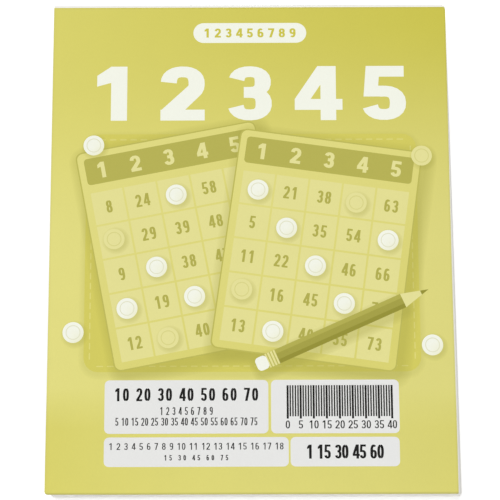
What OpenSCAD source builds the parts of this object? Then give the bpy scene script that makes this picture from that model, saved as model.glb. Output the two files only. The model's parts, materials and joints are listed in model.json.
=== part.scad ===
// Glued pad of cards for a number game. A printed paper cover, a stack of thin card leaves and a grey backing
// card are trimmed square and held along the head edge by one flexible film of padding glue.
// The pad lies on its backing card. The cover is on top, the glued head is towards +Y, the loose foot towards -Y.

/* [Sheets] */
// Width of the cover, the leaves and the backing card
sheet_w = 90; // [60:0.5:150]
// Length of every sheet, from the loose foot to the glued head
sheet_l = 112; // [80:0.5:210]

/* [Leaves] */
// Thickness of one card leaf
leaf_t = 0.07; // [0.05:0.005:0.15]
// Air between one sheet and the next
air_gap = 0.005; // [0.004:0.001:0.02]
// Leaves in each bundle of the block
bundle_leaves = 8; // [2:1:16]

/* [Cover] */
// Thickness of the cover
cover_t = 0.15; // [0.1:0.01:0.4]

/* [Backing card] */
// Thickness of the backing card
back_t = 0.8; // [0.4:0.1:2]

/* [Head glue] */
// Thickness of the glue film on the head edge
glue_t = 0.8; // [0.6:0.1:1.5]

/* [Hidden] */
// Leaves on top that turn one by one, and bundles under them that stay in the block
loose_leaves = 16;
bundles = 10;

function two_digits(n) = str(n < 10 ? "0" : "", n);
function leaf_name(n) = str("leaf_", two_digits(n));
function bundle_name(n) = str("bundle_", two_digits(n));

cover_colour = [0.85, 0.82, 0.45];
paper_colour = [0.95, 0.95, 0.93];
board_colour = [0.60, 0.58, 0.54];
glue_colour = [0.90, 0.89, 0.84];

// Heights count up from the table, and leaves count down from the cover
leaf_pitch = leaf_t + air_gap;
leaf_count = loose_leaves + bundles * bundle_leaves;
cover_z = back_t + air_gap + leaf_count * leaf_pitch;
pad_h = cover_z + cover_t;
function leaf_z(n) = cover_z - n * leaf_pitch;

// The pad is centred on its whole length, glue film included
foot_y = -(sheet_l + glue_t) / 2;
head_y = foot_y + sheet_l;

module sheet(bottom, thickness) {
    translate([-sheet_w / 2, foot_y, bottom])
        cube([sheet_w, sheet_l, thickness]);
}

module cover() {
    color(cover_colour) sheet(cover_z, cover_t);
}

module leaf(n) {
    color(paper_colour) sheet(leaf_z(n), leaf_t);
}

module bundle(n) {
    first = loose_leaves + (n - 1) * bundle_leaves + 1;
    for (i = [0 : bundle_leaves - 1])
        leaf(first + i);
}

module back_card() {
    color(board_colour) sheet(0, back_t);
}

// The film meets the head edge of every sheet, from the table to the top of the cover
module head_glue() {
    color(glue_colour)
        translate([-sheet_w / 2, head_y, 0])
            cube([sheet_w, glue_t, pad_h]);
}

cover();
for (n = [1 : loose_leaves])
    leaf(n);
for (n = [1 : bundles])
    bundle(n);
back_card();
head_glue();
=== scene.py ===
import json
import math
import random

import bpy
from mathutils import Matrix, Vector, noise
from mathutils.geometry import delaunay_2d_cdt

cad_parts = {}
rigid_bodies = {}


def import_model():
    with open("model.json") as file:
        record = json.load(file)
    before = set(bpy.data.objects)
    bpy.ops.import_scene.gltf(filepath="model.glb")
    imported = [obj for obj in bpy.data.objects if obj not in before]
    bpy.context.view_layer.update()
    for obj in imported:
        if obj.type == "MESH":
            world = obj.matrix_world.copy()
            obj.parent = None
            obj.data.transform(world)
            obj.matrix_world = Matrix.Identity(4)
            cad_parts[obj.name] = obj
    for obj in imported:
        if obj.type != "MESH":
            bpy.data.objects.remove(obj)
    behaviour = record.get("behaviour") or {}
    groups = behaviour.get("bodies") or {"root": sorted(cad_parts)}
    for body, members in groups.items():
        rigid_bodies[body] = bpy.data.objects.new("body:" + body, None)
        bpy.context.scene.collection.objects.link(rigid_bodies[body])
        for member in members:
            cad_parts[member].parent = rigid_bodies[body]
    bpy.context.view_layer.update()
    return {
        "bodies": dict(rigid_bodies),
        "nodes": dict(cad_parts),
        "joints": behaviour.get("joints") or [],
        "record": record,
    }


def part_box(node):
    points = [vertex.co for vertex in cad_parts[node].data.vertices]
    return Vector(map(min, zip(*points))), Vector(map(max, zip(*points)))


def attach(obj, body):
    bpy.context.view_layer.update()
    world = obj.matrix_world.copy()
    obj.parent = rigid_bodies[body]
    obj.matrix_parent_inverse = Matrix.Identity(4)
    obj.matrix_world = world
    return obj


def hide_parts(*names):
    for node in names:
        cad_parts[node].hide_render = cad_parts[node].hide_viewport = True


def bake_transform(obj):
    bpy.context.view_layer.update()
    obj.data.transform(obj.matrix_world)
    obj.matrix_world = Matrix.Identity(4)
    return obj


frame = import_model()
mm = 0.001  # lengths below are in millimetres, Blender's are in metres


def boxOf(node):
    low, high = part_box(node)
    return [round(v / mm, 4) for v in low], [round(v / mm, 4) for v in high]


(leftX, footY, coverZ), (rightX, headY, padTop) = boxOf("cover")
filmBack = boxOf("head_glue")[1][1]
boardTop = boxOf("back_card")[1][2]
leafNodes = sorted(name for name in frame["nodes"] if name.startswith("leaf_"))
bundleNodes = sorted(name for name in frame["nodes"] if name.startswith("bundle_"))
leafThick = boxOf(leafNodes[0])[1][2] - boxOf(leafNodes[0])[0][2]
leafPitch = boxOf(leafNodes[0])[0][2] - boxOf(leafNodes[1])[0][2]
leafCount = round((coverZ - boardTop) / leafPitch)
blockLeaves = leafCount - len(leafNodes)
sheetLength = headY - footY


def smooth(t):
    t = max(0.0, min(1.0, t))
    return t * t * (3 - 2 * t)


def ink(red, green, blue):  # screen colour, 0 to 255, as the shader's linear colour
    shares = [c / 255 for c in (red, green, blue)]
    return tuple(c / 12.92 if c < 0.04045 else ((c + 0.055) / 1.055) ** 2.4 for c in shares)


def mixInk(first, second, share):
    share = max(0.0, min(1.0, share))
    return tuple(a + (b - a) * share for a, b in zip(first, second))


print("frame:", len(frame["nodes"]), "nodes,", leafCount, "leaves")

# Camera, floor and light

view = {
    "place": (0.03, -114.2, 471.86),
    "tilt": 13.616,
    "pan": 0.057,
    "roll": -0.222,
    "lens": 153.4,
    "sensor": 36,
    "near": 10,  # nothing closer is drawn
}
cameraData = bpy.data.cameras.new("camera")
cameraData.lens = view["lens"]
cameraData.sensor_width = view["sensor"]
cameraData.clip_start = view["near"] * mm
camera = bpy.data.objects.new("camera", cameraData)
bpy.context.scene.collection.objects.link(camera)
camera.matrix_world = (
    Matrix.Translation(Vector(view["place"]) * mm)
    @ Matrix.Rotation(math.radians(view["pan"]), 4, "Z")
    @ Matrix.Rotation(math.radians(view["tilt"]), 4, "X")
    @ Matrix.Rotation(math.radians(view["roll"]), 4, "Z")
)
bpy.context.scene.camera = camera
bpy.context.scene.view_settings.view_transform = "Standard"


class Wire:
    # a socket in a node tree, with arithmetic that adds Math nodes
    def __init__(self, tree, socket=None):
        self.tree = tree
        self.socket = socket

    def add(self, kind, settings=(), sockets=(), out=0):
        node = self.tree.nodes.new(kind)
        for name, value in dict(settings).items():
            setattr(node, name, value)
        for key, value in dict(sockets).items():
            if isinstance(value, Wire):
                self.tree.links.new(value.socket, node.inputs[key])
            else:
                node.inputs[key].default_value = value
        return Wire(self.tree, node.outputs[out] if len(node.outputs) else None)

    def maths(self, operation, *values):
        return self.add("ShaderNodeMath", {"operation": operation}, dict(enumerate(values)))

    def vectors(self, operation, sockets):
        return self.add("ShaderNodeVectorMath", {"operation": operation}, sockets)

    def __add__(self, other):
        return self.maths("ADD", self, other)

    def __radd__(self, other):
        return self.maths("ADD", other, self)

    def __sub__(self, other):
        return self.maths("SUBTRACT", self, other)

    def __rsub__(self, other):
        return self.maths("SUBTRACT", other, self)

    def __mul__(self, other):
        return self.maths("MULTIPLY", self, other)

    def __rmul__(self, other):
        return self.maths("MULTIPLY", other, self)


def newMaterial(name):
    material = bpy.data.materials.new(name)
    material.use_nodes = True
    material.node_tree.nodes.clear()
    return material, Wire(material.node_tree)


def tinted(wire, factor, first, second):  # two colours, joined by a Mix node
    return wire.add("ShaderNodeMix", {"data_type": "RGBA"}, {0: factor, 6: first, 7: second}, out=2)


def inMillimetres(wire, stretch=(1, 1, 1)):  # Object coordinates, in millimetres
    place = wire.add("ShaderNodeTexCoord", out="Object")
    return wire.vectors("MULTIPLY", {0: place, 1: [s / mm for s in stretch]})


def grain(wire, place, scale, detail, roughness=0.5):  # noise around nought
    return wire.add(
        "ShaderNodeTexNoise",
        {"noise_dimensions": "3D"},
        {"Vector": place, "Scale": scale, "Detail": detail, "Roughness": roughness},
    ) - 0.5


def eased(wire, value, start, end):  # 0 to 1 from one value to another, slow at both ends
    limits = {"Value": value, "From Min": start, "From Max": end}
    return wire.add("ShaderNodeMapRange", {"interpolation_type": "SMOOTHSTEP"}, limits)


def dullSurface(wire, style, colour, roughness, height):  # ends a material: a dull finish, in fine relief
    bumps = wire.add("ShaderNodeBump", {}, {
        "Strength": style["bump"],
        "Distance": style["relief"] * mm,
        "Height": height,
    })
    surface = wire.add("ShaderNodeBsdfPrincipled", {}, {
        "Base Color": colour,
        "Roughness": roughness,
        "Normal": bumps,
        "Specular IOR Level": style["shine"],
    })
    wire.add("ShaderNodeOutputMaterial", {}, {"Surface": surface})


def seenRay(wire):  # 1 for what the camera sees, also in a mirror or through glass
    kinds = ("Camera", "Glossy", "Transmission")
    seen, mirrored, through = [wire.add("ShaderNodeLightPath", out=f"Is {kind} Ray") for kind in kinds]
    return wire.maths("MAXIMUM", wire.maths("MAXIMUM", seen, mirrored), through)


studio = {
    "sky": 0.55,  # light from all round, as a share of plain light
    "glow": 0.32,  # what the floor adds for the eye alone
    "floorInk": 0.90,
    "speckle": 0.01,
    "floorGrain": (0.02, 4),  # its noise: scale, detail
    "floorSide": 4000,
    "lamps": [
        {"name": "window", "place": (-180, 420, 1000), "side": 900, "power": 6.0},
        {"name": "screen", "place": (220, -790, 330), "side": 500, "power": 3.7},
    ],
}
floorMesh = bpy.data.meshes.new("floor")
floorEnd = studio["floorSide"] / 2 * mm
floorCorners = [(x * floorEnd, y * floorEnd, 0) for x, y in ((-1, -1), (1, -1), (1, 1), (-1, 1))]
floorMesh.from_pydata(floorCorners, [], [(0, 1, 2, 3)])
floor = bpy.data.objects.new("floor", floorMesh)
bpy.context.scene.collection.objects.link(floor)
floorPaint, wire = newMaterial("floor_paint")
floorGrain = grain(wire, inMillimetres(wire), *studio["floorGrain"])
matt = wire.add("ShaderNodeBsdfDiffuse", {}, {"Color": floorGrain * studio["speckle"] + studio["floorInk"]})
glow = wire.add("ShaderNodeEmission", {}, {"Strength": seenRay(wire) * studio["glow"]})
both = wire.add("ShaderNodeAddShader", {}, {0: matt, 1: glow})
wire.add("ShaderNodeOutputMaterial", {}, {"Surface": both})
floorMesh.materials.append(floorPaint)

sky = bpy.data.worlds.new("sky")
sky.use_nodes = True
sky.node_tree.nodes.clear()
wire = Wire(sky.node_tree)
brightness = seenRay(wire) * (1 - studio["sky"]) + studio["sky"]
air = wire.add("ShaderNodeBackground", {}, {"Strength": brightness})
wire.add("ShaderNodeOutputWorld", {}, {"Surface": air})
bpy.context.scene.world = sky
for lamp in studio["lamps"]:
    lampData = bpy.data.lights.new(lamp["name"], "AREA")
    lampData.size = lamp["side"] * mm
    lampData.energy = lamp["power"]
    light = bpy.data.objects.new(lamp["name"], lampData)
    light.location = Vector(lamp["place"]) * mm
    light.rotation_euler = Vector(lamp["place"]).to_track_quat("Z", "Y").to_euler()
    bpy.context.scene.collection.objects.link(light)
print("studio: camera, floor,", len(studio["lamps"]), "lamps")

# Flat shapes, in millimetres


def arc(x, y, rx, ry, start, end, steps, square=2.4):  # part of a slightly squared ellipse, a plain one at 2
    points = []
    for i in range(steps + 1):
        a = math.radians(start + (end - start) * i / steps)
        c, s = math.cos(a), math.sin(a)
        px = math.copysign(abs(c) ** (2 / square), c)
        py = math.copysign(abs(s) ** (2 / square), s)
        points.append((x + rx * px, y + ry * py))
    return points


def ribbon(path, across, level=None):  # a stroke, with its weight across upright and level parts
    left, right = [], []
    for i, (x, y) in enumerate(path):
        (ax, ay), (bx, by) = path[max(i - 1, 0)], path[min(i + 1, len(path) - 1)]
        length = math.hypot(bx - ax, by - ay)
        nx, ny = (ay - by) / length * across / 2, (bx - ax) / length * (level or across) / 2
        left.append((x + nx, y + ny))
        right.append((x - nx, y - ny))
    return left + right[::-1]


def around(x, y, wide, high):  # left, foot, right and head of a box, from its middle
    return x - wide / 2, y - high / 2, x + wide / 2, y + high / 2


def bar(x0, y0, x1, y1):
    return [(x0, y0), (x1, y0), (x1, y1), (x0, y1)]


def roundBar(x0, y0, x1, y1, radius, steps=5):
    corners = [(x1 - radius, y0 + radius, -90), (x1 - radius, y1 - radius, 0),
               (x0 + radius, y1 - radius, 90), (x0 + radius, y0 + radius, 180)]
    points = []
    for x, y, start in corners:
        points += arc(x, y, radius, radius, start, start + 90, steps, square=2)
    return points


def disc(x, y, radius, steps=32):
    return arc(x, y, radius, radius, 0, 360 - 360 / steps, steps - 1, square=2)


def ring(x, y, radius, weight, steps=16):  # two half rings
    return [ribbon(arc(x, y, radius, radius, a, a + 180, steps, square=2), weight) for a in (0, 180)]


def slant(x0, y0, x1, y1, width):  # a leaning bar, level at both ends
    return [(x0, y0), (x0 + width, y0), (x1 + width, y1), (x1, y1)]


def numerals(weight, width, contrast=0.8, steps=9):
    # every figure as strokes, for a height of 1: weight of the upright strokes, contrast of the level ones
    level = weight * contrast
    halfX, halfY = weight / 2, level / 2
    top = 1 - halfY
    middle = width / 2
    rx = middle - halfX
    upper = (1 - level) * 0.24  # half heights of the two bowls
    lower = (1 - level) / 2 - upper
    waist = top - 2 * upper
    rise = halfY + lower * 2.08  # middle of the level stroke of the 5

    def bowl(y, ry, start, end, wide=1.0):
        return ribbon(arc(middle, y, rx * wide, ry, start, end, steps), weight, level)

    # the stem and the flag of the 1, the stem and the bar of the 4
    stem = width * 0.58
    flagX, flagY = width * 0.08, 0.83
    fourStem = width * 0.76
    fourBar = 0.19
    # the 2: its bowl ends at a neck, from which a slant runs down to the heel
    bend = upper * 1.16
    neckX, neckY = arc(middle, top - bend, rx, bend, -40, -40, 1)[0]
    heel = level * 0.9
    innerX, innerY = neckX - weight * 0.315, neckY + weight * 0.439
    outerX, outerY = neckX + weight * 0.364, neckY - weight * 0.239
    slope = math.hypot(innerX, innerY - heel) / (innerY - heel)
    six = [
        bowl(halfY + lower * 1.06, lower * 1.06, 0, 180),
        bowl(halfY + lower * 1.06, lower * 1.06, 180, 360),
        bowl(0.5, top - 0.5, 50, 200),
    ]
    return {
        "0": [bowl(0.5, top - 0.5, 90, 270), bowl(0.5, top - 0.5, -90, 90)],
        "1": [
            bar(stem - halfX, 0, stem + halfX, 1),
            [(stem + halfX, 1), (stem - halfX, 1), (flagX, flagY), (flagX, flagY - level),
             (stem + halfX, 0.98 - level)],
        ],
        "2": [
            bowl(top - bend, bend, 176, -44),
            [(innerX, innerY), (0, heel), (weight * slope, heel), (outerX, outerY)],
            bar(0, 0, width, level),
        ],
        "3": [
            bowl(top - upper, upper, 168, -90, 0.94),
            bowl(halfY + lower, lower, 90, -168),
            bar(middle - rx * 0.42, waist - halfY, middle + 0.001, waist + halfY),
        ],
        "4": [
            bar(fourStem - halfX * 0.96, 0, fourStem + halfX * 0.96, 1),
            bar(0, fourBar, width * 1.08, fourBar + level),
            slant(0, fourBar + level, fourStem - weight * 0.66, 1, weight * 0.98),
        ],
        "5": [
            bar(width * 0.12, 1 - level, width * 0.96, 1),
            slant(width * 0.04, rise - halfY, width * 0.1, 1, weight * 0.86),
            bar(width * 0.2, rise - halfY, middle + 0.001, rise + halfY),
            bowl(halfY + lower * 1.04, lower * 1.04, 102, -166),
        ],
        "6": six,
        "7": [
            bar(0, 1 - level, width, 1),
            slant(width * 0.18, 0, width - weight * 1.05, 1 - level * 0.8, weight * 1.05),
        ],
        "8": [
            bowl(top - upper, upper, 90, 270, 0.92),
            bowl(top - upper, upper, -90, 90, 0.92),
            bowl(halfY + lower, lower, 90, 270),
            bowl(halfY + lower, lower, -90, 90),
        ],
        "9": [[(width - x, 1 - y) for x, y in stroke] for stroke in six],
    }


class Plate:
    # inks laid one over another on a sheet, later ones on top
    def __init__(self, ground):
        self.ground = ground  # colour at a point, on the face whose middle is at a given height
        self.outlines = []
        self.inks = []
        self.turnTo(0, 0, 0)

    def turnTo(self, x, y, degrees):  # where the next shapes lie
        self.centre = (x, y)
        self.turn = math.cos(math.radians(degrees)), math.sin(math.radians(degrees))

    def lay(self, outline, colour, cover=1.0):
        (cx, cy), (c, s) = self.centre, self.turn
        placed = [(cx + x * c - y * s, cy + x * s + y * c) for x, y in outline]
        area = sum(a[0] * b[1] - b[0] * a[1] for a, b in zip(placed, placed[1:] + placed[:1]))
        self.outlines.append(placed if area > 0 else placed[::-1])
        self.inks.append((colour, cover, (cx, cy, c, s)))

    def write(self, text, figures, width, x, y, height, colour, gap=0.16, spread=None):
        # a line of figures centred on x and y, a space being half a figure wide
        steps = [width * 0.5 if sign == " " else width for sign in text]
        if spread:  # so wide in all, whatever the gap
            gap = (spread / height - sum(steps)) / (len(text) - 1)
        along = -(sum(steps) + gap * (len(text) - 1)) / 2
        for sign, step in zip(text, steps):
            for stroke in figures.get(sign, []):
                shape = [(x + (along + px) * height, y + (py - 0.5) * height) for px, py in stroke]
                self.lay(shape, colour)
            along += step + gap

    def soften(self, grown, colour, reach, strength, layers):  # a soft edge, by ever smaller layers
        for i in range(layers):
            self.lay(grown(reach * (1 - i / layers)), colour, strength / layers)

    def colourAt(self, layers, x, y, row):
        found = self.ground(x, y, row)
        for layer in layers:
            colour, cover, (cx, cy, c, s) = self.inks[layer]
            if callable(colour):  # an ink that changes over its shape, in the shape's own place
                colour = colour((x - cx) * c + (y - cy) * s, (y - cy) * c - (x - cx) * s)
            found = mixInk(found, colour, cover)
        return found


def fade(first, second, start, end):  # an ink that changes along a line
    ax, ay = end[0] - start[0], end[1] - start[1]
    span = ax ** 2 + ay ** 2
    return lambda x, y: mixInk(first, second, ((x - start[0]) * ax + (y - start[1]) * ay) / span)


# Sheets


def spaced(start, end, step):  # even places strictly between two ends
    count = max(1, round(abs(end - start) / step))
    return [start + (end - start) * i / count for i in range(1, count)]


cornerSteps = 4  # sides of a rounded corner
merged = 1e-5  # points closer than this are one
sheetSharp = 40  # degrees, from which an edge is sharp


def rim(left, foot, right, head, radii, crossings, rows):
    # a sheet's outline, counterclockwise from its right foot corner, with a point at each end of every line
    corners = [(right, foot), (right, head), (left, head), (left, foot)]
    points = []
    for turn, ((x, y), radius) in enumerate(zip(corners, radii)):
        cx = x - math.copysign(radius, x - left - radius)
        cy = y - math.copysign(radius, y - foot - radius)
        first = 90 * turn - 90
        angles = {first + 90 * i / cornerSteps for i in range(cornerSteps + 1)}
        for mark in rows:
            if min(y, cy) < mark < max(y, cy):
                reach = math.copysign(math.sqrt(radius ** 2 - (mark - cy) ** 2), x - cx)
                angles.add(math.degrees(math.atan2(mark - cy, reach)))
        for mark in crossings:
            if min(x, cx) < mark < max(x, cx):
                reach = math.copysign(math.sqrt(radius ** 2 - (mark - cx) ** 2), y - cy)
                angles.add(math.degrees(math.atan2(reach, mark - cx)))
        for angle in sorted(first + (angle - first) % 360 for angle in angles):
            a = math.radians(angle)
            points.append((cx + radius * math.cos(a), cy + radius * math.sin(a)))
        after = radii[(turn + 1) % 4]
        if turn % 2 == 0:  # up the right side, later down the left one
            low, high = (foot + radius, head - after) if turn == 0 else (foot + after, head - radius)
            side = [(x, mark) for mark in rows if low < mark < high]
        else:
            low, high = (left + after, right - radius) if turn == 1 else (left + radius, right - after)
            side = [(mark, y) for mark in crossings if low < mark < high]
        points += side if turn in (0, 3) else side[::-1]
    return points


uvMap = {  # the printed side large, beside it the underside small and a strip for each cut edge
    "margin": 0.012,
    "print": 0.97,  # height of the printed side
    "under": 0.0019,  # for each millimetre of the underside
    "underRight": 0.99,
    "strips": 0.84,
    "stripStep": 0.03,
    "stripWide": 0.02,
    "strip": 0.0061,  # for each millimetre of an edge
    "stripFoot": 0.27,
}


def sheetObject(name, plate, outline, crossings, rows, place, plain, material, cutInks=None):
    # a closed thin sheet, printed on top: place(x, y, side) puts a point of its top (1) or underside (0)
    top = max(y for x, y in outline)
    low = min(y for x, y in outline)
    left = min(x for x, y in outline)
    right = max(x for x, y in outline)
    lines = []
    for axis, marks in ((0, crossings), (1, rows)):
        for mark in marks:
            ends = [i for i, point in enumerate(outline) if abs(point[axis] - mark) < merged]
            ends.sort(key=lambda i: outline[i][1 - axis])
            lines.append((ends[0], ends[-1]))
    verts, faces, colours, mapped = [], [], [], []
    rims = []
    margin, under = uvMap["margin"], uvMap["under"]
    scale = uvMap["print"] / (top - low)

    for side in (1, 0):
        shapes = [outline] + (plate.outlines if side else [])
        points, polygons = [], []
        for shape in shapes:
            polygons.append(list(range(len(points), len(points) + len(shape))))
            points += shape
        flat, _, triangles, sources, _, layers = delaunay_2d_cdt(
            [Vector(p) for p in points], lines, polygons, 1, merged, True)
        first = len(verts)
        found = {source: i for i, group in enumerate(sources) for source in group}
        rims.append([first + found[i] for i in range(len(outline))])
        verts += [place(p.x, p.y, side) for p in flat]
        for triangle, over in zip(triangles, layers):
            corners = triangle if side else triangle[::-1]
            row = sum(flat[i].y for i in corners) / 3
            faces.append([first + i for i in corners])
            for i in corners:
                x, y = flat[i]
                if side:
                    colours.append(plate.colourAt([n - 1 for n in sorted(over) if n], x, y, row))
                    mapped.append((margin + (x - left) * scale, margin + (y - low) * scale))
                else:
                    colours.append(plain)
                    mapped.append((uvMap["underRight"] - (x - left) * under, margin + (y - low) * under))

    upper, lower = rims
    for i in range(len(outline)):
        j = (i + 1) % len(outline)
        faces.append([upper[i], lower[i], lower[j], upper[j]])
        (ax, ay), (bx, by) = outline[i], outline[j]
        across = abs(bx - ax) > abs(by - ay)
        atFoot = across and ay + by < top + low
        strip = 2 * across + (atFoot if across else ax + bx < left + right)
        inner = uvMap["strips"] + uvMap["stripStep"] * strip
        outer = inner + uvMap["stripWide"]
        along = (ax - left, bx - left) if across else (ay - low, by - low)
        start, end = [uvMap["stripFoot"] + uvMap["strip"] * reach for reach in along]
        mapped += [(inner, start), (outer, start), (outer, end), (inner, end)]
        cut = "foot" if atFoot else "head" if across else "side"
        colours += [(cutInks or {}).get(cut, plain)] * 4

    mesh = bpy.data.meshes.new(name)
    mesh.from_pydata(verts, [], faces)
    tint = mesh.color_attributes.new("print", "FLOAT_COLOR", "CORNER")
    tint.data.foreach_set("color", [v for c in colours for v in (*c, 1)])
    layout = mesh.uv_layers.new(name="OFBake")
    layout.uv.foreach_set("vector", [v for uv in mapped for v in uv])
    mesh.shade_smooth()
    mesh.set_sharp_from_angle(angle=math.radians(sheetSharp))
    mesh.materials.append(material)
    piece = bpy.data.objects.new(name, mesh)
    bpy.context.scene.collection.objects.link(piece)
    return piece


stack = {
    "skew": 1.15,  # how far the lower leaves lean out at the right of the foot
    "bow": 0.6,  # the lean grows as this power of the way from the head
    "skewBy": 34,  # leaves down by which they have done so
    "setBack": 0.10,  # how far the lower leaves stand back at the foot
    "footLift": 0.34,  # the loose foot of the top sheets
    "footReach": 34,
    "wave": 0.25,  # share of that lift that comes and goes across the sheet
    "waveLength": 13.0,  # for each radian of the wave
    "waveStart": 0.8,
    "cornerLift": 0.30,  # the left foot corner
    "cornerReach": 24,
    "roll": 0.16,  # the cut rolls the foot edge of the top sheets down
    "rollReach": 0.6,
    "rollRows": (0.25, 0.5, 0.75, 1.0),  # where the rolled edge bends, as shares of its reach
    "evenFrom": 1.0,  # the even rows of points start this far from the foot
}


def leanOf(number, y):  # how far leaf number shifts sideways and towards the head
    share = smooth(number / stack["skewBy"])
    away = (headY - y) / sheetLength
    return stack["skew"] * share * away ** stack["bow"], stack["setBack"] * share * away ** 2


def liftOf(number, x, y):
    if number > len(leafNodes):
        return 0.0
    looseness = (1 - number / (len(leafNodes) + 1)) ** 2
    foot = smooth((footY + stack["footReach"] - y) / stack["footReach"])
    wave = 1 - stack["wave"] + stack["wave"] * math.sin(x / stack["waveLength"] + stack["waveStart"])
    corner = smooth(1 - math.hypot(x - leftX, y - footY) / stack["cornerReach"])
    roll = max(0.0, 1 - (y - footY) / stack["rollReach"]) ** 2
    lift = stack["footLift"] * foot * wave + stack["cornerLift"] * corner - stack["roll"] * roll
    return looseness * lift


# Paper

paperInk = {
    "leaf": ink(244, 243, 238),
    "core": ink(240, 239, 232),  # cut edge and inside of the cover
    "glue": ink(249, 248, 243),
}
paperGrain = {
    "cloud": (0.16, 3),  # each noise: scale, detail, roughness
    "fibre": (5.5, 3, 0.65),
    "speck": (2.2, 4, 0.7),
    "alongGrain": (1.0, 0.22, 1.0),  # fibres lie along the sheet
    "cloudTone": 0.035,  # how much each changes the tone, the gloss and the relief
    "fibreTone": 0.05,
    "speckTone": 0.035,
    "cloudRough": 0.06,
    "fibreRough": 0.18,
    "fibreHeight": 0.6,
    "speckHeight": 0.4,
    "bump": 0.16,
    "relief": 0.03,
    "shine": 0.12,
}


def paperMaterial(name, roughness, toneFrom=None):
    # printed or plain paper: the sheet's own inks, with cloudy formation, fibres and a dry, uneven surface
    material, wire = newMaterial(name)
    place = inMillimetres(wire)
    printed = wire.add("ShaderNodeAttribute", {"attribute_name": "print"}, out="Color")
    cloud = grain(wire, place, *paperGrain["cloud"])
    fibre = grain(wire, inMillimetres(wire, paperGrain["alongGrain"]), *paperGrain["fibre"])
    speck = grain(wire, place, *paperGrain["speck"])
    shade = 1.0 + cloud * paperGrain["cloudTone"] + fibre * paperGrain["fibreTone"]
    shade = shade + speck * paperGrain["speckTone"]
    if toneFrom:
        shade = shade + wire.add("ShaderNodeAttribute", {"attribute_name": toneFrom}, out="Fac")
    colour = wire.vectors("SCALE", {0: printed, "Scale": shade})
    rough = roughness + fibre * paperGrain["fibreRough"] + cloud * paperGrain["cloudRough"]
    height = fibre * paperGrain["fibreHeight"] + speck * paperGrain["speckHeight"]
    dullSurface(wire, paperGrain, colour, rough, height)
    return material


coverPaper = paperMaterial("cover_paper", roughness=0.62)
leafPaper = paperMaterial("leaf_paper", roughness=0.72)
figureStyles = {  # weights and widths for a height of 1
    "title": {"weight": 0.285, "width": 0.78, "contrast": 0.70, "steps": 16},
    "bold": {"weight": 0.185, "width": 0.46},
    "narrow": {"weight": 0.135, "width": 0.38},
    "regular": {"weight": 0.15, "width": 0.52},
    "wide": {"weight": 0.24, "width": 0.64},
}
figures = {name: (numerals(**style), style["width"]) for name, style in figureStyles.items()}

# Cover

cover = {
    "deepInk": ink(206, 198, 75),  # ground at the head
    "paleInk": ink(225, 219, 130),  # ground at the middle
    "darkOlive": ink(149, 145, 54),
    "olive": ink(169, 165, 72),
    "midOlive": ink(190, 185, 90),
    "cream": ink(230, 225, 153),
    "white": ink(245, 247, 234),
    "panelInk": ink(232, 232, 230),
    "black": ink(22, 21, 20),
    "shadeAndGrime": ink(110, 106, 60),  # dark olive: painted shade along the cover's foot edge and on the cut edges of the leaves under it, grime along the cover's other edges
    "corners": (0.25, 1.5, 0.25, 0.7),  # radii, counterclockwise from the right foot corner
    "trim": (0.24, 0.28),  # cut out of square: how far the right foot corner and the foot stand out
    "trimReach": 50,
    "lip": 0.55,  # glue that shows past the head edge
    "lipThin": 0.7,  # how much thinner it gets
    "lipRow": 0.4,  # where it bends, as a share of it
    "bendReach": 3.4,  # it bends as far as this from the back of the film
    "columnStep": 7,  # the mesh gets finer near the bend, and again in it
    "rowStep": 4.5,
    "nearStep": 0.8,
    "nearReach": 8,
    "bendStep": 0.2,
    "finestReach": 3.6,
    "panelCorner": 1.1,
    "title": {"text": "12345", "middle": (-0.05, 34.9), "height": 12.9, "spread": 71.2},
    "pill": {"text": "123456789", "middle": (0.02, 49.4), "size": (25.9, 4.8), "height": 2.2,
             "spread": 21.0},
}
cover["edgeInk"] = mixInk(cover["paleInk"], cover["deepInk"], 0.35)
cover["bandInk"] = mixInk(cover["midOlive"], cover["olive"], 0.35)
cover["cellInk"] = mixInk(cover["paleInk"], cover["cream"], 0.75)
cover["figureInk"] = mixInk(cover["midOlive"], cover["olive"], 0.6)
ground = {
    "paleness": 0.26,  # at the head, from deepInk to paleInk
    "gain": 0.70,  # on the way to the middle
    "headFade": 58,
    "dip": 0.2,  # how much it deepens again towards the foot
    "dipSides": 0.18,  # and what both sides add
    "dipFrom": -32,
    "dipFade": 10,
    "headSide": 0.2,  # how much deeper the right is at the head
    "headSideFrom": 20,
    "headSideFade": 35,
    "footSide": -0.10,  # and at the foot
    "shade": 0.03,  # darkening towards the right
    # the last three darken the edges: painted shade at the foot, a little grime at the sides and head
    "darkEdgeReach": 0.5,
    "footShade": 0.55,
    "edgeRub": 0.12,
}


def groundInk(x, y, row):
    if row > headY:  # the lip of glue
        return paperInk["glue"]
    down = smooth((headY - y) / ground["headFade"])
    low = smooth((ground["dipFrom"] - y) / ground["dipFade"])
    high = smooth((y - ground["headSideFrom"]) / ground["headSideFade"])
    across = x / rightX
    dip = low * (ground["dip"] + ground["dipSides"] * across ** 2)
    side = across * (ground["headSide"] * high + ground["footSide"] * low)
    paleness = ground["paleness"] + ground["gain"] * down - dip - side
    tint = mixInk(cover["deepInk"], cover["paleInk"], paleness)
    tint = tuple(c * (1 - ground["shade"] * across) for c in tint)
    # painted shade darkens the cover's foot edge; its sides and head get a little grime
    inset = min(rightX - abs(x), headY - y)
    atFoot = max(0, 1 - (y - footY) / ground["darkEdgeReach"])
    atEdge = max(0, 1 - inset / ground["darkEdgeReach"])
    return mixInk(tint, cover["shadeAndGrime"], ground["footShade"] * atFoot + ground["edgeRub"] * atEdge)


def layShadow(plate, box, corner, style, layers=6):  # soft, under a bar with round corners
    x0, y0, x1, y1 = box
    dx, dy = style["shadow"]
    plate.soften(
        lambda grow: roundBar(x0 + dx - grow, y0 + dy - grow, x1 + dx + grow, y1 + dy + grow, corner + grow),
        cover["olive"], style["shadowReach"], style["shadowInk"], layers)


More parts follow.
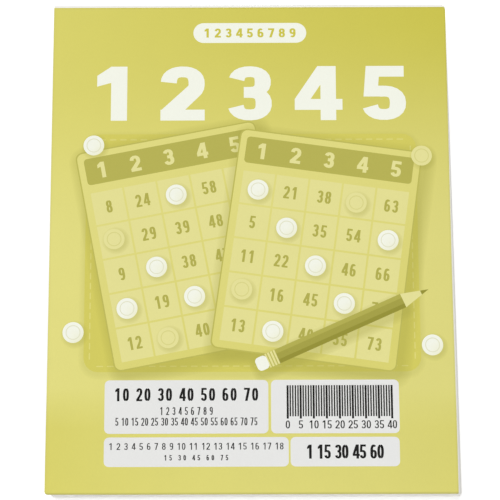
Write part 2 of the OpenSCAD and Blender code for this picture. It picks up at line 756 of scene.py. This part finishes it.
counter = {
    "radius": 2.35,
    "shadow": (0.35, -0.45),
    "shadowInset": 0.3,
    "shadowReach": 1.1,
    "shadowInk": 0.42,
    "dim": 0.45,  # share of cream at the lower right of its face
    "ring": 0.66,  # radius of the ring on it, as a share of its own
    "ringWeight": 0.22,
    "ringInk": 0.34,
}


def layCounter(plate, x, y, face):
    radius = counter["radius"]
    dx, dy = counter["shadow"]
    plate.soften(
        lambda grow: disc(x + dx, y + dy, radius - counter["shadowInset"] + grow),
        cover["olive"], counter["shadowReach"], counter["shadowInk"], layers=5)
    dim = mixInk(face, cover["cream"], counter["dim"])
    plate.lay(disc(x, y, radius), fade(face, dim, (x, y), (x + radius, y - radius)))
    for half in ring(x, y, radius * counter["ring"], counter["ringWeight"]):
        plate.lay(half, mixInk(face, cover["midOlive"], counter["ringInk"]))


smallCard = {
    "size": (41.5, 51),
    "corner": 1.6,
    "frame": 0.3,  # weight of its outline
    "faceCorner": 1.4,
    "fade": ((-12, 18), (14, -20)),  # its face gets deeper from one place to the other
    "margin": 1.7,
    "band": 6.2,  # heading
    "bandCorner": 0.8,
    "bandFigures": 3.7,
    "cellGap": 0.22,  # on each side of a cell
    "figures": 2.9,
    "stray": 0.3,  # of the counters on it
    "shadow": (0.9, -1.2),
    "shadowReach": 2.6,
    "shadowInk": 0.55,
}
cards = [  # marked cells have a counter, pale ones a cream one
    {"seed": 11, "middle": (-14.5, -0.5), "turn": 11, "pale": [(0, 1), (1, 4)],
     "marked": [(0, 1), (1, 2), (2, 0), (0, 3), (2, 3), (1, 4)]},
    {"seed": 12, "middle": (15.0, -1.5), "turn": -8, "pale": [(3, 0), (0, 3)],
     "marked": [(0, 0), (1, 1), (2, 2), (3, 3), (3, 0), (4, 1), (0, 3), (1, 4)]},
]
looseCounters = [
    (-35.4, 22.6, "white"),
    (-39.4, -20.5, "white"),
    (38.8, 20.0, "cream"),
    (40.2, -23.5, "white"),
]


def layCard(plate, card):
    # a small number card: heading band, five columns of five figures, counters on some of them
    dice = random.Random(card["seed"])
    wide, high = smallCard["size"]
    x0, y0, x1, y1 = box = around(0, 0, wide, high)
    corner, frame, margin, gap = [smallCard[name] for name in ("corner", "frame", "margin", "cellGap")]
    bandFoot = y1 - margin - smallCard["band"]
    cell = (wide - 2 * margin) / 5
    drop = (high - 3 * margin - smallCard["band"]) / 5
    columns = [x0 + margin + (column + 0.5) * cell for column in range(5)]
    rows = [bandFoot - margin - (row + 0.5) * drop for row in range(5)]
    halfX, halfY = cell / 2 - gap, drop / 2 - gap
    plate.turnTo(*card["middle"], card["turn"])
    layShadow(plate, box, corner, smallCard, layers=8)
    plate.lay(roundBar(*box, corner), cover["midOlive"])
    plate.lay(roundBar(x0 + frame, y0 + frame, x1 - frame, y1 - frame, smallCard["faceCorner"]),
              fade(cover["paleInk"], cover["edgeInk"], *smallCard["fade"]))
    plate.lay(roundBar(x0 + margin, bandFoot, x1 - margin, y1 - margin, smallCard["bandCorner"]),
              cover["bandInk"])
    bandMiddle = bandFoot + smallCard["band"] / 2
    for column, x in enumerate(columns):
        plate.write(
            str(column + 1), *figures["wide"], x, bandMiddle, smallCard["bandFigures"], cover["cream"])
        drawn = dice.sample(range(1 + 15 * column, 16 + 15 * column), 5)
        for row, y in enumerate(rows):
            plate.lay(bar(x - halfX, y - halfY, x + halfX, y + halfY), cover["cellInk"])
            if (column, row) not in card["marked"]:
                plate.write(
                    str(drawn[row]), *figures["bold"], x, y, smallCard["figures"], cover["figureInk"])
    for column, row in card["marked"]:
        x = columns[column] + dice.uniform(-1, 1) * smallCard["stray"]
        y = rows[row] + dice.uniform(-1, 1) * smallCard["stray"]
        layCounter(plate, x, y, cover["cream" if (column, row) in card["pale"] else "white"])
    plate.turnTo(0, 0, 0)


pencil = {
    "middle": (20.5, -19.5),
    "turn": 24,
    "length": 42,
    "width": 3.3,
    "point": 6.27,  # sharpened end
    "lead": 0.3,  # share of the point
    "facets": (0.0, 0.35, 0.7),  # paleness of its three facets
    "midFacet": 2.4,  # the pencil is this many times as wide as the middle one
    "ferrule": (2.6, 5.0),  # from the other end
    "rings": 3,
    "ringFrom": 2.95,
    "ringWide": 0.25,
    "ringStep": 0.7,
    "eraser": (2.7, 0.94, 0.9),  # length, share of the width, corner
    "shadow": (0, -1.0),
    "shadowReach": 1.6,
    "shadowInk": 0.5,
    "shadowCorner": 0.6,
}


def layPencil(plate):
    half = pencil["width"] / 2
    tip = pencil["length"] / 2
    neck = tip - pencil["point"]
    lead = pencil["lead"]
    sleeve, wood = [-tip + reach for reach in pencil["ferrule"]]
    plate.turnTo(*pencil["middle"], pencil["turn"])
    layShadow(plate, (-tip, -half, neck, half), pencil["shadowCorner"], pencil)
    ridge = half / pencil["midFacet"]
    edges = (-half, -ridge, ridge, half)
    for low, high, paleness in zip(edges, edges[1:], pencil["facets"]):
        plate.lay(bar(wood, low, neck, high), mixInk(cover["darkOlive"], cover["midOlive"], paleness))
    plate.lay([(neck, -half), (tip, 0), (neck, half)], cover["cream"])
    leadX = tip - pencil["point"] * lead
    plate.lay([(leadX, -half * lead), (tip, 0), (leadX, half * lead)], cover["darkOlive"])
    plate.lay(bar(sleeve, -half, wood, half), cover["cream"])
    for i in range(pencil["rings"]):
        x = -tip + pencil["ringFrom"] + i * pencil["ringStep"]
        plate.lay(bar(x, -half, x + pencil["ringWide"], half), cover["midOlive"])
    length, share, corner = pencil["eraser"]
    plate.lay(roundBar(-tip, -half * share, -tip + length, half * share, corner), cover["white"])
    plate.turnTo(0, 0, 0)


mat = {
    "box": (-37.0, -29.4, 37.6, 25.2),
    "radius": 3.2,
    "ink": mixInk(cover["deepInk"], cover["paleInk"], 0.3),
    "inset": 1.3,  # of its stitching
    "stitch": 1.5,
    "stitchWide": 0.26,
    "stitchCorner": 0.12,
    "pitch": 2.3,
    "thread": mixInk(cover["deepInk"], cover["paleInk"], 0.85),
    "shadow": (0, -0.5),
    "shadowReach": 1.2,
    "shadowInk": 0.22,
}


def layMat(plate):  # a plain playing mat, stitched all round
    x0, y0, x1, y1 = mat["box"]
    inset = mat["inset"]
    layShadow(plate, mat["box"], mat["radius"], mat, layers=5)
    plate.lay(roundBar(*mat["box"], mat["radius"]), mat["ink"])
    stitches = [(x, y, mat["stitch"], mat["stitchWide"])
                for x in spaced(x0 + inset, x1 - inset, mat["pitch"]) for y in (y0 + inset, y1 - inset)]
    stitches += [(x, y, mat["stitchWide"], mat["stitch"])
                 for y in spaced(y0 + inset, y1 - inset, mat["pitch"]) for x in (x0 + inset, x1 - inset)]
    for stitch in stitches:
        plate.lay(roundBar(*around(*stitch), mat["stitchCorner"], steps=2), mat["thread"])


panels = [  # left, foot, right, head, and its lines: text, style, height, middle height, spread
    {"box": (-32.2, -43.05, 3.85, -31.2), "lines": [
        ("10 20 30 40 50 60 70", "bold", 2.9, -34.4, 31.6),
        ("1 2 3 4 5 6 7 8 9", "narrow", 1.75, -38.05, 11.6),
        ("5 10 15 20 25 30 35 40 45 50 55 60 65 70 75", "narrow", 1.75, -40.4, 31.2)]},
    {"box": (4.45, -43.05, 32.5, -31.2), "lines": []},
    {"box": (-32.2, -50.35, 8.25, -43.85), "lines": [
        ("1 2 3 4 5 6 7 8 9 10 11 12 13 14 15 16 17 18", "regular", 1.5, -45.85, 38.2),
        ("15 30 45 60 75", "bold", 1.2, -48.35, 14.0)]},
    {"box": (8.65, -50.35, 32.4, -43.85), "lines": [("1 15 30 45 60", "bold", 3.1, -47.1, 16.8)]},
]


def layPanel(plate, panel):
    x0, y0, x1, y1 = panel["box"]
    plate.lay(roundBar(x0, y0, x1, y1, cover["panelCorner"]), cover["panelInk"])
    for text, style, height, y, spread in panel["lines"]:
        plate.write(text, *figures[style], (x0 + x1) / 2, y, height, cover["black"], spread=spread)


rule = {
    "from": 8.1,
    "to": 30.9,
    "bars": 41,
    "every": 5,  # bars from one long bar to the next
    "head": -32.4,
    "foot": -39.3,
    "longFoot": -39.8,
    "bar": 0.56,  # weights, as shares of a step
    "longBar": 0.80,
    "figures": -41.1,
    "height": 1.8,
    "gap": 0.1,
}


def layRule(plate):  # a plain scale: even bars, some longer and wider, with their figures
    step = (rule["to"] - rule["from"]) / (rule["bars"] - 1)
    for i in range(rule["bars"]):
        x = rule["from"] + i * step
        long = i % rule["every"] == 0
        half = step * rule["longBar" if long else "bar"] / 2
        foot = rule["longFoot" if long else "foot"]
        plate.lay(bar(x - half, foot, x + half, rule["head"]), cover["black"])
        if long:
            plate.write(str(i), *figures["regular"], x, rule["figures"], rule["height"], cover["black"],
                        rule["gap"])


def layTitle(plate, title):
    plate.write(title["text"], *figures["title"], *title["middle"], title["height"], cover["white"],
                spread=title["spread"])


def layPill(plate, pill):
    wide, high = pill["size"]
    radius = high / 2 - 0.01  # just short of a half circle, so that no two points meet
    plate.lay(roundBar(*around(*pill["middle"], wide, high), radius, steps=9), cover["white"])
    plate.write(pill["text"], *figures["wide"], *pill["middle"], pill["height"], cover["deepInk"],
                spread=pill["spread"])


coverPlate = Plate(groundInk)
layMat(coverPlate)
for card in cards:
    layCard(coverPlate, card)
layPencil(coverPlate)
for x, y, face in looseCounters:
    layCounter(coverPlate, x, y, cover[face])
layTitle(coverPlate, cover["title"])
layPill(coverPlate, cover["pill"])
for panel in panels:
    layPanel(coverPlate, panel)
layRule(coverPlate)
print("cover:", len(coverPlate.outlines), "printed shapes")


def coverPlace(x, y, side):
    thick = padTop - coverZ
    past = max(0.0, y - headY) / cover["lip"]
    z = coverZ + thick * side * (1 - cover["lipThin"] * past ** 2) + liftOf(0, x, y)
    out, down = cover["trim"]
    low = smooth(-y / cover["trimReach"])
    return ((x + out * low * smooth(x / rightX)) * mm, (y - down * low) * mm, z * mm)


footRows = [footY + stack["rollReach"] * share for share in stack["rollRows"]]
evenFoot = footY + stack["evenFrom"]
darkEdge = ground["darkEdgeReach"]
coverCrossings = [leftX + darkEdge] + spaced(leftX + darkEdge, rightX - darkEdge, cover["columnStep"]) + [rightX - darkEdge]
nearBend, finest = filmBack - cover["nearReach"], filmBack - cover["finestReach"]
coverRows = footRows + spaced(evenFoot, nearBend, cover["rowStep"])
coverRows += spaced(nearBend, finest, cover["nearStep"]) + spaced(finest, headY, cover["bendStep"])
coverRows += [headY, headY + cover["lip"] * cover["lipRow"]]
coverRim = rim(leftX, footY, rightX, headY + cover["lip"], cover["corners"], coverCrossings, coverRows)
coverPiece = sheetObject(
    "printed_cover", coverPlate, coverRim, coverCrossings, coverRows, coverPlace, paperInk["core"],
    coverPaper)
(filmBack - cover["bendReach"]) * mm
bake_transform(coverPiece)
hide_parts("cover")
print("cover:", len(coverPiece.data.polygons), "faces")

# Card leaves

leaf = {
    "corners": (0.35,) * 4,
    "ink": ink(66, 66, 56),
    "lineInk": ink(120, 119, 104),
    "bandInk": ink(150, 146, 66),
    "discInk": ink(214, 210, 150),
    "side": 39.0,  # half width of the printed card
    "head": 44.5,
    "foot": -46.0,
    "band": 12.0,  # heading
    "bandCorner": 1.6,
    "bandFigures": 7.4,
    "bandGap": 0.6,
    "frame": 0.35,  # half weights of the outer and the inner lines
    "line": 0.16,
    "figures": 7.0,
    "figureGap": 0.13,
    "disc": 5.2,  # radius of the one in the open centre
    "serial": (4.2, 3.6, 2.2),  # in from the right, down from the grid, and its height
    "bendReach": 6.0,
    "inset": 2,  # of the first and last columns of points
    "columnStep": 10,
    "rowStep": 6,
    "bendStep": 0.4,
    "finestReach": 6.4,
    "headInset": 0.1,
    "stray": 0.05,  # how far leaves lie out of line
    "shadeAndGrime": {"foot": 0.65, "side": 0.35},  # painted shade on the cut edges, close under the cover, as a share of the dark ink
    "shadeBy": 14,  # leaves, over which the painted shade falls to about a third
    "printSeed": 100,
    "straySeed": 300,
}


def leafPlate(number):
    # one card: a heading band with the column figures, five columns of five numbers, an open centre
    dice = random.Random(leaf["printSeed"] + number)
    plate = Plate(lambda x, y, row: paperInk["leaf"])
    side, head, foot, frame = [leaf[name] for name in ("side", "head", "foot", "frame")]
    bandFoot = head - leaf["band"]
    gridHead = bandFoot - leaf["bandGap"]
    cell = 2 * side / 5
    drop = (gridHead - foot) / 5
    plate.lay(roundBar(-side, bandFoot, side, head, leaf["bandCorner"]), leaf["bandInk"])
    for line in range(6):
        x = -side + line * cell
        y = gridHead - line * drop
        half = frame if line in (0, 5) else leaf["line"]
        plate.lay(bar(x - half, foot - frame, x + half, gridHead + frame), leaf["lineInk"])
        plate.lay(bar(-side - frame, y - half, side + frame, y + half), leaf["lineInk"])
    bandMiddle = head - leaf["band"] / 2
    for column in range(5):
        x = -side + (column + 0.5) * cell
        plate.write(str(column + 1), *figures["wide"], x, bandMiddle, leaf["bandFigures"], paperInk["leaf"])
        drawn = dice.sample(range(1 + 15 * column, 16 + 15 * column), 5)
        for row in range(5):
            y = gridHead - (row + 0.5) * drop
            if column == row == 2:
                plate.lay(disc(x, y, leaf["disc"]), leaf["discInk"])
            else:
                plate.write(str(drawn[row]), *figures["bold"], x, y, leaf["figures"], leaf["ink"],
                            leaf["figureGap"])
    inset, down, height = leaf["serial"]
    plate.write(f"{number:03d}", *figures["regular"], side - inset, foot - down, height, leaf["ink"])
    return plate


def leafPiece(number):
    dice = random.Random(leaf["straySeed"] + number)
    strayX, strayY = dice.uniform(-1, 1) * leaf["stray"], -dice.random() * leaf["stray"]
    low = coverZ - number * leafPitch

    def place(x, y, side):
        leanX, leanY = leanOf(number, y)
        away = (headY - y) / sheetLength
        z = low + leafThick * side + liftOf(number, x, y)
        return ((x + leanX + strayX * away) * mm, (y + leanY + strayY * away) * mm, z * mm)

    crossings = spaced(leftX + leaf["inset"], rightX - leaf["inset"], leaf["columnStep"])
    finest = filmBack - leaf["finestReach"]
    rows = footRows + spaced(evenFoot, finest, leaf["rowStep"])
    rows += spaced(finest, headY - leaf["headInset"], leaf["bendStep"])
    outline = rim(leftX, footY, rightX, headY, leaf["corners"], crossings, rows)
    # painted shade: the cut edges at the foot and the side are darker, most on the top leaves under the
    # cover
    share = math.exp(-number / leaf["shadeBy"])
    cutInks = {}
    for cut, shadeAndGrime in leaf["shadeAndGrime"].items():
        cutInks[cut] = mixInk(paperInk["leaf"], cover["shadeAndGrime"], shadeAndGrime * share)
    return sheetObject(f"printed_leaf_{number:02d}", leafPlate(number), outline, crossings, rows, place,
                       paperInk["leaf"], leafPaper, cutInks)


leafBend = (filmBack - leaf["bendReach"]) * mm
for number, node in enumerate(leafNodes, 1):
    piece = leafPiece(number)
    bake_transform(piece)
    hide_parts(node)
topLeaf = leafPiece(len(leafNodes) + 1)  # the uppermost leaf that stays in the block
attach(topLeaf, "block")
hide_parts(bundleNodes[0])
print("leaves:", len(leafNodes) + 1, "printed,", len(topLeaf.data.polygons), "faces each")

# Leaves of the block

block = {
    "Leaves": blockLeaves - 1,
    "Pitch": leafPitch * mm,
    "First": len(leafNodes) + 2,
    "Skew": stack["skew"] * mm,
    "Skew By": stack["skewBy"],
    "Bow": stack["bow"],
    "Set Back": stack["setBack"] * mm,
    "Stray": 0.08 * mm,  # of single leaves
    "Bundle Stray": 0.12 * mm,  # of bundles
    "Bundle": blockLeaves // len(bundleNodes),
    "Dark Tone": 0.13,  # how much darker or paler a leaf may be
    "Pale Tone": 0.039,
    "Painted Shade": 0.16,  # painted shade on the uppermost leaves of the block, under the cover
    "Painted Shade By": 36.0,  # leaves, over which that painted shade fades out
    "Head": headY * mm,
    "Length": sheetLength * mm,
    "Seed": 5,
}


def stackTree(inputs, material):
    # the same sheet again and again, each a pitch lower and a little out of line away from the head
    tree = bpy.data.node_groups.new("leaf_stack", "GeometryNodeTree")
    tree.interface.new_socket("Sheet", in_out="INPUT", socket_type="NodeSocketGeometry")
    identifiers = {}
    for name, value in inputs.items():
        kind = "NodeSocketInt" if isinstance(value, int) else "NodeSocketFloat"
        identifiers[name] = tree.interface.new_socket(name, in_out="INPUT", socket_type=kind).identifier
    tree.interface.new_socket("Stack", in_out="OUTPUT", socket_type="NodeSocketGeometry")
    wire = Wire(tree)
    given = {name: wire.add("NodeGroupInput", out=name) for name in ("Sheet", *inputs)}
    step = wire.add("ShaderNodeCombineXYZ", {}, {"Z": given["Pitch"] * -1})
    levels = wire.add(
        "GeometryNodeMeshLine", {"mode": "OFFSET"}, {"Count": given["Leaves"], "Offset": step})
    sheets = wire.add("GeometryNodeInstanceOnPoints", {}, {"Points": levels, "Instance": given["Sheet"]})
    index = wire.add("GeometryNodeInputIndex")

    def scatter(identity, seed, amount):  # a level shift, drawn once for each identity
        return wire.add(
            "FunctionNodeRandomValue",
            {"data_type": "FLOAT_VECTOR"},
            {
                "Min": wire.add("ShaderNodeCombineXYZ", {}, {"X": amount * -1, "Y": amount * -1}),
                "Max": wire.add("ShaderNodeCombineXYZ", {}, {"X": amount, "Y": 0.0}),
                "ID": identity,
                "Seed": seed,
            },
        )

    single = scatter(index, given["Seed"], given["Stray"])
    bundle = (index + given["First"] - 1).maths("DIVIDE", index, given["Bundle"])
    bundled = scatter(bundle.maths("FLOOR", bundle), given["Seed"] + 1, given["Bundle Stray"])
    shift = wire.vectors("ADD", {0: single, 1: bundled})
    depth = eased(wire, index + given["First"], 0.0, given["Skew By"])
    tone = wire.add(
        "FunctionNodeRandomValue",
        {"data_type": "FLOAT"},
        {2: given["Dark Tone"] * -1, 3: given["Pale Tone"], "ID": index, "Seed": given["Seed"] + 2},
        out=1,
    )
    # painted shade: the uppermost leaves of the block are darker, fading out further down
    pastShade = eased(wire, index, 0.0, given["Painted Shade By"])
    tone = tone - (1 - pastShade) * given["Painted Shade"]
    for name, kind, value in (("leafShift", "FLOAT_VECTOR", shift), ("leafDepth", "FLOAT", depth),
                              ("leafTone", "FLOAT", tone)):
        sheets = wire.add(
            "GeometryNodeStoreNamedAttribute",
            {"data_type": kind, "domain": "INSTANCE"},
            {"Geometry": sheets, "Name": name, "Value": value},
        )
    whole = wire.add("GeometryNodeRealizeInstances", {}, {"Geometry": sheets})

    def stored(name, kind):
        return wire.add("GeometryNodeInputNamedAttribute", {"data_type": kind}, {"Name": name})

    height = wire.add("ShaderNodeSeparateXYZ", {}, {0: wire.add("GeometryNodeInputPosition")}, out="Y")
    reach = given["Head"] - height
    away = reach.maths("DIVIDE", reach, given["Length"])
    depth = stored("leafDepth", "FLOAT")
    lean = wire.add("ShaderNodeCombineXYZ", {}, {
        "X": depth * away.maths("POWER", away, given["Bow"]) * given["Skew"],
        "Y": depth * away * away * given["Set Back"],
    })
    shift = stored("leafShift", "FLOAT_VECTOR")
    strayed = wire.vectors("SCALE", {0: shift, "Scale": away})
    offset = wire.vectors("ADD", {0: lean, 1: strayed})
    placed = wire.add("GeometryNodeSetPosition", {}, {"Geometry": whole, "Offset": offset})
    dressed = wire.add("GeometryNodeSetMaterial", {}, {"Geometry": placed, "Material": material})
    wire.add("NodeGroupOutput", {}, {0: dressed})
    return tree, identifiers


plainSheet = {"inset": (2, 1), "step": (15, 14)}  # columns and rows of points, for the leaves and the board
stackPaper = paperMaterial("block_paper", roughness=0.78, toneFrom="leafTone")
(insetX, insetY), (stepX, stepY) = plainSheet["inset"], plainSheet["step"]
sheetCrossings = spaced(leftX + insetX, rightX - insetX, stepX)
sheetRows = spaced(footY + insetY, headY - insetY, stepY)
sheetRim = rim(leftX, footY, rightX, headY, leaf["corners"], sheetCrossings, sheetRows)
firstLow = coverZ - block["First"] * leafPitch


def sheetPlace(x, y, side):
    return (x * mm, y * mm, (firstLow + leafThick * side) * mm)


stackPiece = sheetObject(
    "block_leaves", Plate(lambda x, y, row: paperInk["leaf"]), sheetRim, sheetCrossings, sheetRows,
    sheetPlace, paperInk["leaf"], stackPaper)
stackPiece.data.uv_layers.remove(stackPiece.data.uv_layers["OFBake"])
stackNodes, stackInputs = stackTree(block, stackPaper)
modifier = stackPiece.modifiers.new("stack", "NODES")
modifier.node_group = stackNodes
for name, value in block.items():
    modifier[stackInputs[name]] = value
depsgraph = bpy.context.evaluated_depsgraph_get()
stackMesh = bpy.data.meshes.new_from_object(
    stackPiece.evaluated_get(depsgraph), preserve_all_data_layers=True, depsgraph=depsgraph)
stackPiece.modifiers.remove(modifier)
stackPiece.data = stackMesh
stackMesh.name = "block_leaves"
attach(stackPiece, "block")
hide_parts(*bundleNodes)
print("block:", block["Leaves"], "leaves,", len(stackMesh.polygons), "faces")

# Backing card

board = {
    "corners": (0.5,) * 4,
    "edge": 0.12,
    "ink": ink(208, 205, 197),
    "dark": ink(168, 164, 154),
    "pale": ink(228, 225, 217),
    "cloud": (0.25, 4),  # each noise: scale, detail, roughness
    "fibre": (2.6, 3, 0.7),
    "spot": (1.7, 3, 0.7),
    "alongGrain": (0.6, 1.6, 1.0),
    "cloudInk": 0.25,  # share of the dark ink in its clouds
    "cloudSpan": 0.3,  # noise, up and down, over which they come
    "paleFrom": (0.10, 0.24),  # noise at which pale flecks start, and at which they are full
    "paleFlecks": 0.55,
    "darkFrom": (0.12, 0.22),
    "darkFlecks": 0.6,
    "cloudHeight": 0.5,
    "fibreRough": 0.2,
    "roughness": 0.86,
    "bump": 0.3,
    "relief": 0.05,
    "shine": 0.2,
}


def boardMaterial():
    # grey board from waste paper: cloudy, with pale and dark flecks of fibre pressed in
    material, wire = newMaterial("grey_board")
    place = inMillimetres(wire)
    cloud = grain(wire, place, *board["cloud"])
    fibre = grain(wire, inMillimetres(wire, board["alongGrain"]), *board["fibre"])
    spot = grain(wire, place, *board["spot"])
    span = board["cloudSpan"]
    tone = wire.add("ShaderNodeMapRange", {}, {"Value": cloud, "From Min": -span, "From Max": span})
    cloudInk = mixInk(board["ink"], board["dark"], board["cloudInk"])
    colour = tinted(wire, tone, (*cloudInk, 1), (*board["ink"], 1))
    paleFlecks = eased(wire, fibre, *board["paleFrom"]) * board["paleFlecks"]
    colour = tinted(wire, paleFlecks, colour, (*board["pale"], 1))
    darkFlecks = eased(wire, spot, *board["darkFrom"]) * board["darkFlecks"]
    colour = tinted(wire, darkFlecks, colour, (*board["dark"], 1))
    rough = board["roughness"] + fibre * board["fibreRough"]
    dullSurface(wire, board, colour, rough, fibre + cloud * board["cloudHeight"])
    return material


boardRim = rim(leftX, footY, rightX, headY, board["corners"], sheetCrossings, sheetRows)


def boardPlace(x, y, side):
    leanX, leanY = leanOf(leafCount, y)
    return ((x + leanX) * mm, (y + leanY) * mm, boardTop * side * mm)


boardPiece = sheetObject(
    "backing_card", Plate(lambda x, y, row: board["ink"]), boardRim, sheetCrossings, sheetRows,
    boardPlace, board["ink"], boardMaterial())
bevel = boardPiece.modifiers.new("pressed_edge", "BEVEL")
bevel.width = board["edge"] * mm
bevel.segments = 2
bevel.limit_method = "ANGLE"
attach(boardPiece, "block")
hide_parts("back_card")
print("backing card:", len(boardPiece.data.polygons), "faces")

# Film of glue along the head

film = {
    "thin": 0.40,
    "thick": 0.70,
    "least": 0.06,
    "columns": 110,
    "rows": 56,
    "edge": 0.5,  # how far in from its sides and foot the film reaches its thickness
    "edgeLeast": 0.02,  # square of the share that it has there
    "clearance": 0.002,  # under the cover
    "stroke": (0.045, 0.55, 3.0),  # the brush's strokes: how fast they change along and up, and which draw
    "streak": (0.02, 2.6, 9.0),
    "strokeDepth": 0.55,  # as shares of the way from thin to thick
    "streakDepth": 0.25,
    "sharp": 50,  # degrees, from which an edge is sharp
    "ink": ink(244, 242, 233),
    "milk": ink(232, 229, 214),
    "brush": (1.6, 4, 0.6),  # each noise: scale, detail, roughness
    "blotch": (0.3, 3),
    "alongStrokes": (0.06, 1.0, 1.2),
    "brushTone": 1.2,  # how much each changes the tone
    "blotchTone": 0.8,
    "leafLines": 0.08,  # how much the leaves' ends show through
    "leafHeight": 0.25,
    "brushRough": 0.3,
    "roughness": 0.42,
    "bump": 0.35,
    "relief": 0.05,
    "shine": 0.4,
}


def filmDepth(x, z):  # brushed on in long strokes, thinning out at its sides and foot
    stroke, streak = [noise.noise(Vector((x * along, z * up, draw)))
                      for along, up, draw in (film["stroke"], film["streak"])]
    share = 0.5 + film["strokeDepth"] * stroke + film["streakDepth"] * streak
    body = film["thin"] + (film["thick"] - film["thin"]) * share
    inset = min(x - leftX, rightX - x, z)
    edge = math.sqrt(max(film["edgeLeast"], min(1.0, inset / film["edge"])))
    return max(film["least"], min(film["thick"], body)) * edge


def filmMaterial():
    material, wire = newMaterial("padding_glue")
    place = inMillimetres(wire)
    brush = grain(wire, inMillimetres(wire, film["alongStrokes"]), *film["brush"])
    blotch = grain(wire, place, *film["blotch"])
    height = wire.add("ShaderNodeSeparateXYZ", {}, {0: place}, out="Z")
    turn = height * (2 * math.pi / leafPitch)
    leafLine = turn.maths("SINE", turn)
    tone = 0.5 + brush * film["brushTone"] + blotch * film["blotchTone"]
    colour = tinted(wire, tone, (*film["milk"], 1), (*film["ink"], 1))
    colour = tinted(wire, leafLine * film["leafLines"] + film["leafLines"], colour, (*film["milk"], 1))
    rough = film["roughness"] + brush * film["brushRough"]
    dullSurface(wire, film, colour, rough, brush + leafLine * film["leafHeight"])
    return material


def filmObject():
    across, up = film["columns"], film["rows"]
    high = coverZ - film["clearance"]
    verts, faces = [], []
    for j in range(up + 1):
        for i in range(across + 1):
            x = leftX + (rightX - leftX) * i / across
            z = high * j / up
            verts.append((x * mm, (headY + filmDepth(x, z)) * mm, z * mm))
    row = across + 1
    for j in range(up):
        for i in range(across):
            a = j * row + i
            faces.append((a, a + row, a + row + 1, a + 1))
    loop = list(range(across)) + [j * row + across for j in range(up)]
    loop += [up * row + across - i for i in range(across)] + [(up - j) * row for j in range(up)]
    first = len(verts)
    verts += [(verts[i][0], headY * mm, verts[i][2]) for i in loop]
    for n, a in enumerate(loop):
        m = (n + 1) % len(loop)
        faces.append((a, loop[m], first + m, first + n))
    faces.append(tuple(range(first, first + len(loop))))
    mesh = bpy.data.meshes.new("glue_film")
    mesh.from_pydata(verts, [], faces)
    mesh.shade_smooth()
    mesh.set_sharp_from_angle(angle=math.radians(film["sharp"]))
    mesh.materials.append(filmMaterial())
    piece = bpy.data.objects.new("glue_film", mesh)
    bpy.context.scene.collection.objects.link(piece)
    return piece


filmPiece = filmObject()
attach(filmPiece, "block")
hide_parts("head_glue")
print("glue film:", len(filmPiece.data.polygons), "faces")
